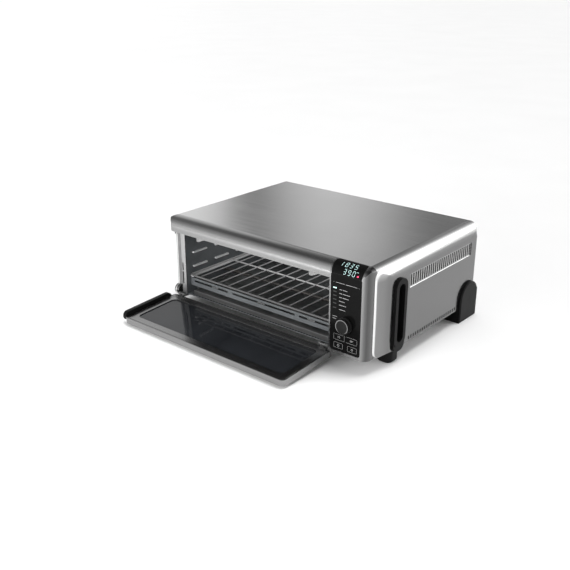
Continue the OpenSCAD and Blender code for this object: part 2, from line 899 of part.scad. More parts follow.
module crumb_tray() {
    t = 1;
    y1 = tray_y0 + tray_len;
    side = 38;
    color("#a7a9aa") {
        difference() {
            block([tray_x0, tray_y0, tray_z - 1.5], [tray_x1, y1, tray_z + t]);
            // underside around the sunken middle
            difference() {
                block([tray_x0 - 1, tray_y0 - 1, tray_z - 2],
                    [tray_x1 + 1, y1 + 1, tray_z]);
                translate([0, 0, tray_z - 3]) linear_extrude(4) round_rect(
                    [tray_x0 + side - 1.5, tray_y0 + 26.5],
                    [tray_x1 - side + 1.5, y1 - 26.5], 7);
            }
            // the sunken middle
            translate([0, 0, tray_z - 0.5]) linear_extrude(4) round_rect(
                [tray_x0 + side, tray_y0 + 28], [tray_x1 - side, y1 - 28], 6);
        }
        // front lip turned down, side and back lips turned up
        block([tray_x0, tray_y0, tray_z - 8], [tray_x1, tray_y0 + t, tray_z]);
        for (x = [tray_x0, tray_x1 - t])
            block([x, tray_y0 + 10, tray_z + t], [x + t, y1, tray_z + 5.5]);
        block([tray_x0, y1 - t, tray_z + t], [tray_x1, y1, tray_z + 5.5]);
    }
}

module wire_rack() {
    r = 2;
    wire_r = 1.2;
    bend = 4;
    y1 = rack_d;
    pitch = (rack_x1 - rack_x0) / (rack_wires + 1);
    color("#c3c5c6") {
        rod_x(rack_x0 + bend, rack_x1 - bend, r, rack_z, r);
        rod_x(rack_x0 + bend, rack_x1 - bend, y1, rack_z, r);
        for (x = [rack_x0, rack_x1]) rod_y(x, r + bend, y1 - bend, rack_z, r);
        for (x = [[rack_x0 + bend, 180], [rack_x1 - bend, 270]],
            y = [[r + bend, 0], [y1 - bend, 1]])
            translate([x[0], y[0], rack_z])
                rotate([0, 0, y[1] == 0 ? x[1] : (x[1] == 180 ? 90 : 0)])
                    rotate_extrude(angle = 90) translate([bend, 0]) circle(r, $fn = 32);
        for (y = [118, 226]) rod_x(rack_x0, rack_x1, y, rack_z - 0.4, 1.6);
        for (i = [1:rack_wires]) rod_y(rack_x0 + i * pitch, r, y1, rack_z, wire_r);
    }
}

// ------------------------------------------------------------------ output
place() top_cover();
place() front_rail();
place() control_bezel();
place() side_cap_left();
place() side_cap_right();
place() base_pan();
place() back_panel();
place() front_frame();
place() side_channel();
place() cavity_floor();
place() cavity_ceiling();
place() cavity_side_left();
place() cavity_side_right();
place() cavity_back();
place() rack_runners();
place() tray_runners();
place() insulation();
place() panel_screws();
place() door_grip();
place() upper_heaters();
place() lower_heaters();
place() heater_insulators();
place() heater_guard();
place() heater_brackets();
place() fan_grille();
place() fan_housing();
place() fan_wheel();
place() fan_shaft();
place() cooling_fan();
place() fan_motor();
place() lamp_lens();
place() lamp_holder();
place() temp_probe();
place() fascia();
place() display_module();
place() control_board();
place() encoder_body();
place() encoder_sleeve();
place() knob_shaft();
place() knob();
place() knob_ring();
place() time_button();
place() temp_button();
place() power_button();
place() light_button();
place() power_board();
place() cord_gland();
place() right_grip();
place() rear_feet();
place() front_feet();
place() foot_pads();
place() rear_bumpers();
place() hinge_brackets();
place() hinge_pins();
place() door_frame();
place() door_inner_frame();
place() door_glass_outer();
place() door_glass_inner();
place() wire_rack();
place() crumb_tray();
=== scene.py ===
import json
import math

import bmesh
import bpy
from mathutils import Matrix, Vector


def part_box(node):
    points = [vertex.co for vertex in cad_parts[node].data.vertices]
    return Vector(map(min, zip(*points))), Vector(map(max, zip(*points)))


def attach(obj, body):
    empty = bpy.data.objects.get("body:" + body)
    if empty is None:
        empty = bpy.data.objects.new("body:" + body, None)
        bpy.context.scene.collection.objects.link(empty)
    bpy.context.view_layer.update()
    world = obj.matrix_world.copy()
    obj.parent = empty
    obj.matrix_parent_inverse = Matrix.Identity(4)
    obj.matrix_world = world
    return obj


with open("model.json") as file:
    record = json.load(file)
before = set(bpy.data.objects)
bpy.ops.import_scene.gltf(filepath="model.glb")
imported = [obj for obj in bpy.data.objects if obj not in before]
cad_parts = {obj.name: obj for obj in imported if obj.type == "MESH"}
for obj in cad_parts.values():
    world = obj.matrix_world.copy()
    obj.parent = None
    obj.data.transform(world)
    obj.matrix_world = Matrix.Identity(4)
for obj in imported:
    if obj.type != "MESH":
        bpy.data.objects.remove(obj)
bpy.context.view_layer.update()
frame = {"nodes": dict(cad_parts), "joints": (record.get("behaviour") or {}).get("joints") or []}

# ---------------------------------------------------------------- the frame
# Places below are in millimetres, as in the part's own source: x to the right of
# the middle, y to the back of the flat top's front seam, z up from the floor.

MM = 0.001
nodes = frame["nodes"]
joints = {j["name"]: j for j in frame["joints"]}
SEAM_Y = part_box("top_cover")[0].y
TOP_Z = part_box("top_cover")[1].z / MM
NOSE_R = (SEAM_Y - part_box("front_rail")[0].y) / MM
NOSE_Z = TOP_Z - NOSE_R
FASCIA_R = (SEAM_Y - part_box("fascia")[0].y) / MM
DOOR_OPEN = -joints["door_hinge"]["range_deg"][0]
HINGE = Vector(joints["door_hinge"]["pos_m"])
CASING = Matrix.Translation((0, SEAM_Y, 0)) @ Matrix.Scale(MM, 4)
OPENED = (Matrix.Translation(HINGE) @ Matrix.Rotation(math.radians(DOOR_OPEN), 4, "X")
          @ Matrix.Translation(-HINGE))
SIDE_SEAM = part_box("top_cover")[1].x
SIDE_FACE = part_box("side_cap_right")[1].x
FASCIA_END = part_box("fascia")[1].x
SLOT_BANDS = (  # y and z range of each row of slots, and how far below the face they start; there the slot walls are painted near-black as shade
    (96, 312, 132, 156.5, 1.6),
    (96, 268, 30, 39.5, 0.1),
)
RECESS = (93, 312, 131, 157, 1.2)      # the floor of the recess round the upper slots, painted paler as a highlight
LEDGE = (93, 312, 130.4, 131.4, 0.1)   # the ledge under it, painted pale as a highlight
CAP_SLOPE_Z = (166, 181)         # heights between which the caps' edges turn paler, a painted highlight along their top


# ------------------------------------------------------------ material tools

class Shader:
    """A node material around one Principled shader, with its texture space in metres."""

    def __init__(self, name, **constants):
        self.mat = bpy.data.materials.new(name)
        self.mat.use_nodes = True
        self.tree = self.mat.node_tree
        self.bsdf = self.tree.nodes["Principled BSDF"]
        self.place = self.tree.nodes.new("ShaderNodeTexCoord").outputs["Object"]
        self.height = None
        for socket, value in constants.items():
            self.bsdf.inputs[socket.replace("_", " ")].default_value = value

    def link(self, a, b):
        self.tree.links.new(a, b)

    def scaled(self, per_metre, stretch):
        """The place in the object, scaled so that one texture cell is 1 / per_metre across."""
        mapping = self.tree.nodes.new("ShaderNodeMapping")
        mapping.inputs["Scale"].default_value = [per_metre * s for s in stretch]
        self.link(self.place, mapping.inputs["Vector"])
        return mapping.outputs["Vector"]

    def coordinate(self, axis):
        """One coordinate of the place in the object, "X", "Y" or "Z", in metres."""
        place = self.tree.nodes.new("ShaderNodeSeparateXYZ")
        self.link(self.place, place.inputs["Vector"])
        return place.outputs[axis]

    def noise(self, per_metre, stretch=(1, 1, 1), detail=3.0, rough=0.5, warp=0.0):
        node = self.tree.nodes.new("ShaderNodeTexNoise")
        node.inputs["Scale"].default_value = 1.0
        node.inputs["Detail"].default_value = detail
        node.inputs["Roughness"].default_value = rough
        node.inputs["Distortion"].default_value = warp
        self.link(self.scaled(per_metre, stretch), node.inputs["Vector"])
        return node.outputs["Fac"]

    def cells(self, per_metre):
        node = self.tree.nodes.new("ShaderNodeTexVoronoi")
        node.inputs["Scale"].default_value = 1.0
        self.link(self.scaled(per_metre, (1, 1, 1)), node.inputs["Vector"])
        return node.outputs["Distance"]

    def span(self, fac, low, high, at=(0.3, 0.7)):
        """Maps a texture's values between at[0] and at[1] to low...high."""
        node = self.tree.nodes.new("ShaderNodeMapRange")
        for socket, value in zip(("From Min", "From Max", "To Min", "To Max"), (*at, low, high)):
            node.inputs[socket].default_value = value
        self.link(fac, node.inputs["Value"])
        return node.outputs["Result"]

    def maths(self, operation, a, b):
        node = self.tree.nodes.new("ShaderNodeMath")
        node.operation = operation
        for socket, value in zip(node.inputs, (a, b)):
            if isinstance(value, (int, float)):
                socket.default_value = value
            else:
                self.link(value, socket)
        return node.outputs["Value"]

    def ramp(self, fac, *stops):
        """Colour from (position, (r, g, b)) stops along a texture."""
        ramp = self.tree.nodes.new("ShaderNodeValToRGB")
        elements = ramp.color_ramp.elements
        while len(elements) < len(stops):
            elements.new(0.5)
        for element, (position, rgb) in zip(elements, stops):
            element.position = position
            element.color = (*rgb, 1)
        self.link(fac, ramp.inputs["Fac"])
        return ramp.outputs["Color"]

    def colour(self, fac, *stops):
        self.link(self.ramp(fac, *stops), self.bsdf.inputs["Base Color"])

    def blend(self, fac, colour, other):
        """A colour that turns into another, fixed or not, as fac goes from 0 to 1."""
        node = self.tree.nodes.new("ShaderNodeMix")
        node.data_type = "RGBA"
        self.link(fac, node.inputs["Factor"])
        self.link(colour, node.inputs["A"])
        if isinstance(other, bpy.types.NodeSocket):
            self.link(other, node.inputs["B"])
        else:
            node.inputs["B"].default_value = (*other, 1)
        return node.outputs["Result"]

    def dim(self, colour, axis, start, end, tone):
        """Fades a colour to a grey as that coordinate goes from start to end, in metres; the
        callers use it to paint shade.
        """
        fac = self.span(self.coordinate(axis), 0.0, 1.0, (start, end))
        return self.blend(fac, colour, grey(tone))

    def roughness(self, fac):
        self.link(fac, self.bsdf.inputs["Roughness"])

    def bump(self, fac, depth, strength=1.0):
        """Adds a relief of that depth in metres on top of any earlier one."""
        node = self.tree.nodes.new("ShaderNodeBump")
        node.inputs["Strength"].default_value = strength
        node.inputs["Distance"].default_value = depth
        self.link(fac, node.inputs["Height"])
        if self.height is not None:
            self.link(self.height, node.inputs["Normal"])
        self.height = node.outputs["Normal"]
        self.link(self.height, self.bsdf.inputs["Normal"])


def grey(v, warm=0.0):
    return (v * (1 + warm), v, v * (1 - warm))


# Lines per metre in brushed steel, along and across the direction of brushing
GRAIN_ALONG, GRAIN_ACROSS = 60.0, 2600.0
STREAK_ALONG, STREAK_ACROSS = 3.0, 340.0


def brushed(name, dark, light, along, rough, smears=0.05, relief=1.0, dim=None):
    """Brushed steel whose grain runs along one axis."""
    s = Shader(name, Metallic=1.0)
    grain = [GRAIN_ALONG if i == along else GRAIN_ACROSS for i in range(3)]
    broad = [STREAK_ALONG if i == along else STREAK_ACROSS for i in range(3)]
    fine = s.noise(1.0, grain, detail=2)
    wide = s.noise(1.0, broad, detail=2)
    cloud = s.noise(9.0, detail=3, rough=0.6)
    tone = s.maths("ADD", s.maths("MULTIPLY", fine, 0.45), s.maths("MULTIPLY", wide, 0.55))
    steel = s.ramp(tone, (0.36, grey(dark)), (0.64, grey(light)))
    s.link(s.dim(steel, *dim) if dim else steel, s.bsdf.inputs["Base Color"])
    r = s.maths("ADD", s.span(tone, rough[0], rough[1], (0.4, 0.6)), s.span(cloud, -smears, smears))
    s.roughness(r)
    s.bump(fine, 0.00001, 0.35 * relief)
    s.bump(wide, 0.00001, 0.15 * relief)
    return s.mat


def bezel_steel(name):
    """Brushed steel of the control surround with painted light: a painted highlight next to the
    fascia and painted shade, darker where it turns towards the side.
    """
    s = Shader(name, Metallic=1.0)
    fine = s.noise(1.0, (GRAIN_ACROSS, GRAIN_ACROSS, GRAIN_ALONG), detail=2)
    # Painted light across the surround: a painted highlight by the fascia, painted shade towards
    # the side seam.
    across = s.span(s.coordinate("X"), 0.0, 1.0, (FASCIA_END, SIDE_SEAM))
    s.colour(s.maths("ADD", across, s.span(fine, -0.04, 0.04)),
             (0.0, grey(0.3)), (0.18, grey(0.26)), (0.4, grey(0.17)), (0.7, grey(0.1)),
             (0.86, grey(0.12)), (1.0, grey(0.15)))
    s.roughness(s.span(fine, 0.2, 0.25))
    s.bump(fine, 0.00001, 0.2)
    return s.mat


def satin_metal(name, tone, rough=(0.3, 0.42), grain=900.0, metallic=1.0, warm=0.0, relief=0.00002,
                dim=None):
    """Plain sheet metal or metallic paint with a fine even grain and soft clouds."""
    s = Shader(name, Metallic=metallic)
    fine = s.noise(grain, detail=3)
    cloud = s.noise(14.0, detail=4, rough=0.6)
    sheet = s.ramp(cloud, (0.3, grey(tone * 0.9, warm)), (0.7, grey(tone * 1.06, warm)))
    s.link(s.dim(sheet, *dim) if dim else sheet, s.bsdf.inputs["Base Color"])
    s.roughness(s.maths("ADD", s.span(fine, *rough), s.span(cloud, -0.04, 0.04)))
    s.bump(fine, relief, 0.5)
    return s.mat


def cap_paint(name, face, slope, crest):
    """Silver paint with painted light: painted highlights on the crest and sloping edges, palest on
    the top edges, a painted highlight on the recess floor and ledge, and painted shade on the walls
    of the slots, near-black.
    """
    s = Shader(name)
    outwards = s.maths("ABSOLUTE", s.coordinate("X"), 0)
    cloud = s.noise(14.0, detail=4, rough=0.6)
    fade = s.span(outwards, 0.0, 1.0, (SIDE_SEAM, SIDE_FACE))
    fade = s.maths("ADD", fade, s.span(cloud, -0.015, 0.015))
    # Painted highlights: a bright crest by the seam and paler sloping edges, brighter along the
    # upper edges than the lower ones, over a darker face.
    upper = s.ramp(fade, (0.0, grey(slope * 0.8)), (0.04, grey(crest)), (0.36, grey(crest)),
                   (0.46, grey(slope)), (0.7, grey(slope)), (0.79, grey(face)))
    lower = s.ramp(fade, (0.0, grey(slope * 0.5)), (0.05, grey(crest)), (0.33, grey(crest)),
                   (0.41, grey(slope * 0.55)), (0.72, grey(slope * 0.5)), (0.97, grey(face)))
    high = s.span(s.coordinate("Z"), 0.0, 1.0, [z * MM for z in CAP_SLOPE_Z])
    paint = s.blend(high, lower, upper)

    def within(y0, y1, z0, z1, depth):
        """1 inside that y and z range and deeper than that below the face, else 0."""
        inside = s.maths("LESS_THAN", outwards, SIDE_FACE - depth * MM)
        for axis, low, high in (("Y", SEAM_Y + y0 * MM, SEAM_Y + y1 * MM), ("Z", z0 * MM, z1 * MM)):
            for operation, limit in (("GREATER_THAN", low), ("LESS_THAN", high)):
                inside = s.maths("MULTIPLY", s.maths(operation, s.coordinate(axis), limit), inside)
        return inside

    # Painted highlights on the recess floor and on the ledge under it.
    paint = s.blend(within(*RECESS), paint, grey(slope * 0.8))
    paint = s.blend(within(*LEDGE), paint, grey(crest))
    # Painted shade: the slot walls turn near-black, with no specular, metallic or gloss.
    slot_shade = s.maths("MAXIMUM", *[within(*band) for band in SLOT_BANDS])
    s.link(s.blend(slot_shade, paint, grey(0.003)), s.bsdf.inputs["Base Color"])
    s.link(s.span(slot_shade, 0.5, 0.0, (0.0, 1.0)), s.bsdf.inputs["Specular IOR Level"])
    s.link(s.span(slot_shade, 0.95, 0.0, (0.0, 1.0)), s.bsdf.inputs["Metallic"])
    fine = s.noise(1500.0, detail=3)
    s.roughness(s.maths("ADD", s.span(fine, 0.17, 0.23),
                        s.maths("ADD", s.span(cloud, -0.02, 0.02), s.maths("MULTIPLY", slot_shade, 0.4))))
    s.bump(fine, 0.00002, 0.5)
    return s.mat


def moulded(name, tone, rough=(0.38, 0.5), pebble=1400.0, relief=0.00006):
    """Moulded plastic or rubber with a fine pebbled texture and faint wear."""
    s = Shader(name, Specular_IOR_Level=0.08)
    fine = s.cells(pebble)
    cloud = s.noise(22.0, detail=4, rough=0.6)
    s.colour(cloud, (0.3, grey(tone * 0.8)), (0.7, grey(tone * 1.3)))
    s.roughness(s.span(cloud, *rough))
    s.bump(fine, relief, 0.6)
    return s.mat


def gloss_panel(name, tone, rough=(0.05, 0.1)):
    """Polished black plastic with faint smudges."""
    s = Shader(name, Specular_IOR_Level=0.06)
    cloud = s.noise(30.0, detail=5, rough=0.65)
    s.colour(cloud, (0.3, grey(tone * 0.8)), (0.75, grey(tone * 1.4)))
    s.roughness(s.span(cloud, *rough))
    s.bump(s.noise(120.0, detail=1), 0.00001, 0.2)
    return s.mat


def enamel(name, low, high):
    """Dark blue-grey baked enamel with fine flecks."""
    s = Shader(name, Coat_Weight=0.15, Coat_Roughness=0.2, Metallic=0.35)
    flecks = s.noise(1700.0, detail=2)
    cloud = s.noise(16.0, detail=4, rough=0.6)
    both = s.maths("ADD", s.maths("MULTIPLY", flecks, 0.5), s.maths("MULTIPLY", cloud, 0.5))
    s.colour(both, (0.38, low), (0.62, high))
    s.roughness(s.span(cloud, 0.3, 0.45))
    s.bump(flecks, 0.00003, 0.4)
    return s.mat


def heater_metal(name):
    """Oxidised heater sheath: brown and blue-grey bands along the tube."""
    s = Shader(name, Metallic=0.9)
    bands = s.noise(12.0, (1, 0.4, 0.4), detail=4, rough=0.6)
    s.colour(bands, (0.25, (0.1, 0.097, 0.1)), (0.5, (0.16, 0.15, 0.142)),
             (0.75, (0.24, 0.235, 0.23)))
    s.roughness(s.span(s.noise(300.0), 0.35, 0.55))
    s.bump(s.noise(900.0), 0.00003, 0.5)
    return s.mat


def polished(name, tone, rough=(0.06, 0.14), metallic=1.0, dim=None):
    """Chrome or bright plating with slight clouding."""
    s = Shader(name, Metallic=metallic)
    cloud = s.noise(60.0, detail=4, rough=0.6)
    plate = s.ramp(cloud, (0.3, grey(tone * 0.92)), (0.7, grey(tone * 1.04)))
    s.link(s.dim(plate, *dim) if dim else plate, s.bsdf.inputs["Base Color"])
    s.roughness(s.span(cloud, *rough))
    s.bump(s.noise(400.0, detail=1), 0.00001, 0.3)
    return s.mat


def tinted_glass(name, tone, alpha):
    s = Shader(name, Alpha=alpha, IOR=1.5)
    smear = s.noise(24.0, (1, 0.5, 1), detail=5, rough=0.65)
    s.colour(smear, (0.3, tone), (0.7, [c * 1.5 for c in tone]))
    s.roughness(s.span(smear, 0.03, 0.08))
    return s.mat


def lit(name, rgb, strength):
    """A lit display segment, a little uneven along its length."""
    s = Shader(name, Roughness=0.4)
    glow = s.noise(500.0, detail=1)
    s.colour(glow, (0.3, [c * 0.9 for c in rgb]), (0.7, rgb))
    s.bsdf.inputs["Emission Color"].default_value = (*rgb, 1)
    s.bsdf.inputs["Emission Strength"].default_value = strength
    return s.mat


def wool(name):
    s = Shader(name, Roughness=0.95)
    fibres = s.noise(500.0, (1, 1, 0.3), detail=5, rough=0.7, warp=1.5)
    s.colour(fibres, (0.3, (0.42, 0.37, 0.24)), (0.7, (0.72, 0.66, 0.48)))
    s.bump(fibres, 0.0006, 0.7)
    return s.mat


def board(name):
    s = Shader(name, Coat_Weight=0.4, Coat_Roughness=0.2, Roughness=0.45)
    tracks = s.cells(260.0)
    s.colour(tracks, (0.25, (0.02, 0.16, 0.06)), (0.5, (0.015, 0.09, 0.035)))
    s.bump(tracks, 0.00005, 0.4)
    return s.mat


def glaze(name):
    s = Shader(name, Roughness=0.35)
    cloud = s.noise(120.0, detail=4)
    s.colour(cloud, (0.3, (0.66, 0.63, 0.55)), (0.7, (0.82, 0.8, 0.73)))
    s.bump(cloud, 0.0001, 0.3)
    return s.mat


X, Y, Z = 0, 1, 2
TOP = brushed("top_steel", 0.475, 0.525, X, (0.16, 0.22), smears=0.02)
# Painted shade: the nose's colour fades to a dark grey below its rounded edge, standing in for the
# darker reflection of what lies below it.
NOSE = brushed("nose_steel", 0.40, 0.46, X, (0.17, 0.23), smears=0.02,
               dim=("Z", (NOSE_Z + 4) * MM, (NOSE_Z - 1) * MM, 0.29))
BEZEL = bezel_steel("bezel_steel")
CAP = cap_paint("cap_silver", 0.17, 0.42, 0.8)
SHEET = satin_metal("sheet_steel", 0.36, (0.34, 0.46), 500.0)
FRAME_STEEL = brushed("frame_steel", 0.40, 0.48, Z, (0.36, 0.42), relief=0.3)
DOOR_STEEL = brushed("door_steel", 0.26, 0.29, X, (0.19, 0.24), smears=0.01, relief=0.1)
TRAY_LIPS = 4.5  # height of the tray's side lips above its sheet
TRAY_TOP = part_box("crumb_tray")[1].z - TRAY_LIPS * MM
# Painted shade: below the top of its sheet the tray fades to a dark grey, so its lips and underside
# are painted darker.
TRAY = satin_metal("tray_steel", 0.6, (0.33, 0.38), 300.0, relief=0.000002,
                   dim=("Z", TRAY_TOP - 0.5 * MM, TRAY_TOP - 2.5 * MM, 0.3))
ENAMEL = enamel("cavity_enamel", (0.1, 0.107, 0.112), (0.15, 0.16, 0.166))
RUNNER = satin_metal("runner_steel", 0.8, (0.34, 0.42), 600.0, 0.45)
BLACK = moulded("black_plastic", 0.006)
RUBBER = moulded("black_rubber", 0.014, (0.7, 0.85), 900.0, 0.0001)
GLOSS = gloss_panel("gloss_black", 0.0035)
KNOB = moulded("knob_plastic", 0.012, (0.32, 0.42), 2600.0, 0.00002)
CHROME = polished("chrome", 0.22)
RACK_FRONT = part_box("wire_rack")[0].y
# Painted shade: the rack's front bar fades to a dark grey, standing in for the dark reflection it
# shows.
RACK = polished("rack_chrome", 0.46, (0.3, 0.38), 0.5,
                dim=("Y", RACK_FRONT + 5 * MM, RACK_FRONT + 4 * MM, 0.15))
PLATED = polished("plated_steel", 0.58, (0.3, 0.38))
HEATER = heater_metal("heater_sheath")
OUTER_GLASS = tinted_glass("outer_glass", (0.008, 0.009, 0.01), 0.96)
INNER_GLASS = tinted_glass("inner_glass", (0.012, 0.013, 0.015), 0.8)
LENS = tinted_glass("lamp_glass", (0.7, 0.7, 0.66), 0.5)
DISPLAY_WHITE = lit("display_white", (0.5, 0.74, 0.72), 0.55)
DISPLAY_RED = lit("display_red", (0.8, 0.06, 0.16), 0.6)
PRINT = moulded("print_grey", 0.26, (0.4, 0.5), 3000.0, 0.00001)
PRINT_DIM = moulded("print_dim", 0.03, (0.4, 0.5), 3000.0, 0.00001)
WOOL = wool("insulation_wool")
BOARD = board("circuit_board")
CERAMIC = glaze("ceramic")
MOTOR = satin_metal("motor_steel", 0.12, (0.4, 0.55), 400.0, 0.8, warm=0.1)
ALUMINIUM = satin_metal("aluminium", 0.62, (0.34, 0.44), 600.0)

NODE_LOOK = {
    TOP: ["top_cover"],
    NOSE: ["front_rail"],
    BEZEL: ["control_bezel"],
    CAP: ["side_cap_left", "side_cap_right"],
    SHEET: ["base_pan", "back_panel", "fan_housing", "hinge_brackets", "tray_runners",
            "side_channel", "heater_brackets"],
    RUNNER: ["rack_runners"],
    FRAME_STEEL: ["front_frame"],
    ENAMEL: ["cavity_floor", "cavity_ceiling", "cavity_side_left", "cavity_side_right",
             "cavity_back", "heater_guard", "fan_grille"],
    WOOL: ["insulation"],
    PLATED: ["panel_screws", "hinge_pins", "knob_shaft", "encoder_sleeve", "fan_shaft",
             "temp_probe"],
    HEATER: ["upper_heaters", "lower_heaters"],
    CERAMIC: ["heater_insulators", "lamp_holder"],
    ALUMINIUM: ["fan_wheel"],
    BLACK: ["cooling_fan", "cord_gland", "right_grip", "door_grip", "rear_feet", "front_feet",
            "rear_bumpers"],
    MOTOR: ["fan_motor", "encoder_body"],
    LENS: ["lamp_lens"],
    GLOSS: ["fascia", "time_button", "temp_button", "power_button", "light_button",
            "display_module"],
    BOARD: ["control_board", "power_board"],
    CHROME: ["knob_ring"],
    RACK: ["wire_rack"],
    RUBBER: ["foot_pads"],
    DOOR_STEEL: ["door_frame", "door_inner_frame"],
    OUTER_GLASS: ["door_glass_outer"],
    INNER_GLASS: ["door_glass_inner"],
    TRAY: ["crumb_tray"],
    KNOB: ["knob"],
}

# Rounded edge, in millimetres, for the nodes whose edges show
EDGES = {
    "top_cover": 0.5, "front_rail": 0.5, "control_bezel": 0.5, "side_cap_left": 0.25,
    "side_cap_right": 0.25, "door_frame": 0.7, "door_grip": 1.4, "right_grip": 1.6,
    "rear_feet": 1.6, "front_feet": 1.2, "crumb_tray": 0.3, "knob": 0.4, "fascia": 0.2,
    "time_button": 0.25, "temp_button": 0.25, "power_button": 0.25, "light_button": 0.25,
    "rack_runners": 0.5, "front_frame": 0.3, "heater_guard": 0.3, "rear_bumpers": 1.0,
    "heater_brackets": 0.3, "door_inner_frame": 0.2, "panel_screws": 0.25, "hinge_brackets": 0.4,
    "base_pan": 0.3, "back_panel": 0.3, "cord_gland": 0.5, "foot_pads": 0.4,
}


def finish_node(name, material):
    """Gives a CAD node its material, and rounds its edges with modifiers."""
    obj = nodes[name]
    obj.data.materials.clear()
    obj.data.materials.append(material)
    if "custom_normal" in obj.data.attributes:
        obj.data.attributes.remove(obj.data.attributes["custom_normal"])
    if name in EDGES:
        weld = obj.modifiers.new("weld", "WELD")
        weld.merge_threshold = 0.000002
        bevel = obj.modifiers.new("edges", "BEVEL")
        bevel.width = EDGES[name] * MM
        bevel.segments = 3
        bevel.limit_method = "ANGLE"
        bevel.angle_limit = math.radians(38)
        bevel.harden_normals = False
        bevel.use_clamp_overlap = True
    for polygon in obj.data.polygons:
        polygon.use_smooth = True
    obj.data.set_sharp_from_angle(angle=math.radians(32))
    if name in EDGES:
        flatten = obj.modifiers.new("flat faces", "WEIGHTED_NORMAL")
        flatten.keep_sharp = True
        flatten.weight = 100


for look, names in NODE_LOOK.items():
    for node_name in names:
        finish_node(node_name, look)


# ---------------------------------------------------------------- mesh tools

def piece(name, bm, body, material, matrix=CASING):
    """Turns a bmesh in casing millimetres into a piece that rides on a body."""
    bmesh.ops.recalc_face_normals(bm, faces=bm.faces)
    mesh = bpy.data.meshes.new(name)
    bm.to_mesh(mesh)
    bm.free()
    mesh.transform(matrix)
    mesh.materials.append(material)
    for polygon in mesh.polygons:
        polygon.use_smooth = True
    mesh.set_sharp_from_angle(angle=math.radians(35))
    obj = bpy.data.objects.new(name, mesh)
    bpy.context.scene.collection.objects.link(obj)
    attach(obj, body)
    return obj


def on_fascia(u, v, lift):
    """x = u; v runs up the fascia, flat below the rounded edge and round above it."""
    r = FASCIA_R + lift
    if v <= 0:
        return Vector((u, -r, NOSE_Z + v))
    return Vector((u, -r * math.cos(v / FASCIA_R), NOSE_Z + r * math.sin(v / FASCIA_R)))


def on_key(u, z, lift):
    return Vector((u, -NOSE_R - lift, z))


SUNK = 0.02  # how far raised lines reach below the surface they stand on


def ribbon(bm, path, width, surface, height=0.12, closed=False, pointed=False, step=0.6):
    """A raised line of that width along a path of (u, v) points on a surface."""
    points = []
    for a, b in zip(path, path[1:] + path[:1] if closed else path[1:]):
        a, b = Vector(a), Vector(b)
        count = max(1, round((b - a).length / step))
        points += [a.lerp(b, i / count) for i in range(count)]
    if not closed:
        points.append(Vector(path[-1]))
    n = len(points)
    rings = []
    for i, p in enumerate(points):
        before = points[i - 1] if closed or i else p
        after = points[(i + 1) % n] if closed or i < n - 1 else p
        along = (after - before).normalized()
        side = Vector((-along.y, along.x)) * width / 2
        if pointed and i in (0, n - 1):
            side = side * 0.15
        a, b = p + side, p - side
        rings.append([bm.verts.new(surface(q.x, q.y, h))
                      for q, h in ((a, -SUNK), (a, height), (b, height), (b, -SUNK))])
    for i in range(n if closed else n - 1):
        r, s = rings[i], rings[(i + 1) % n]
        for k in range(4):
            bm.faces.new((r[k], r[(k + 1) % 4], s[(k + 1) % 4], s[k]))
    if not closed:
        bm.faces.new(rings[0])
        bm.faces.new(rings[-1][::-1])


def round_path(x0, y0, x1, y1, r, steps=5):
    """Corner points of a rectangle with round corners."""
    path = []
    for cx, cy, start in ((x1 - r, y1 - r, 0), (x0 + r, y1 - r, 90),
                          (x0 + r, y0 + r, 180), (x1 - r, y0 + r, 270)):
        for i in range(steps + 1):
            a = math.radians(start + 90 * i / steps)
            path.append((cx + r * math.cos(a), cy + r * math.sin(a)))
    return path


# ------------------------------------------------------------------- display

SEGMENTS = {  # which of the seven strokes each digit lights
    "0": "abcdef", "1": "bc", "3": "abcdg", "5": "acdfg", "8": "abcdefg", "9": "abcdfg",
}
STROKES = {  # ends of each stroke in a digit one unit wide and two high
    "a": ((0, 2), (1, 2)), "b": ((1, 2), (1, 1)), "c": ((1, 1), (1, 0)),
    "d": ((0, 0), (1, 0)), "e": ((0, 0), (0, 1)), "f": ((0, 1), (0, 2)),
    "g": ((0, 1), (1, 1)),
}


def digit(bm, character, u, v, width, height, stroke):
    """One seven-stroke digit, leaning a little to the right."""
    for key in SEGMENTS[character]:
        (ax, ay), (bx, by) = STROKES[key]
        a = Vector((u + ax * width + ay * height * 0.07, v + ay * height / 2))
        b = Vector((u + bx * width + by * height * 0.07, v + by * height / 2))
        gap = (b - a).normalized() * stroke * 0.55
        ribbon(bm, [a + gap, b - gap], stroke, on_fascia, pointed=True)


def arc(degrees):
    """Distance up the fascia's rounded edge to an angle above its front."""
    return math.radians(degrees) * FASCIA_R


DIGIT_WIDTH, DIGIT_STROKE = 4.5, 0.62
DIGIT_ROWS = (  # angles of a row's lower and upper edge, and its digits with their left edges
    (47, 70, (("1", 173.6), ("8", 184.6), ("3", 193.8), ("5", 203.4))),
    (13, 36, (("3", 185.6), ("9", 194.6), ("0", 203.6))),
)
DEGREE_MARK = (211.6, 214.6)  # ends of the dash near the top of the lower row
bm = bmesh.new()
for start, stop, digits in DIGIT_ROWS:
    low, high = arc(start), arc(stop)
    for text, u in digits:
        digit(bm, text, u, low, DIGIT_WIDTH, high - low, DIGIT_STROKE)
ribbon(bm, [(u, high - 0.3) for u in DEGREE_MARK], 0.6, on_fascia)
piece("display_digits", bm, "oven_body", DISPLAY_WHITE)

bm = bmesh.new()
FLAME_U, FLAME_V = 215.2, arc(16)
for lean in (-1.6, 0, 1.6):
    ribbon(bm, [(FLAME_U + lean, FLAME_V - 0.6),
                (FLAME_U + 0.4 + lean * 0.3, FLAME_V + 2.6 - abs(lean) * 0.5)],
           0.95, on_fascia, pointed=True)
piece("display_flame", bm, "oven_body", DISPLAY_RED)

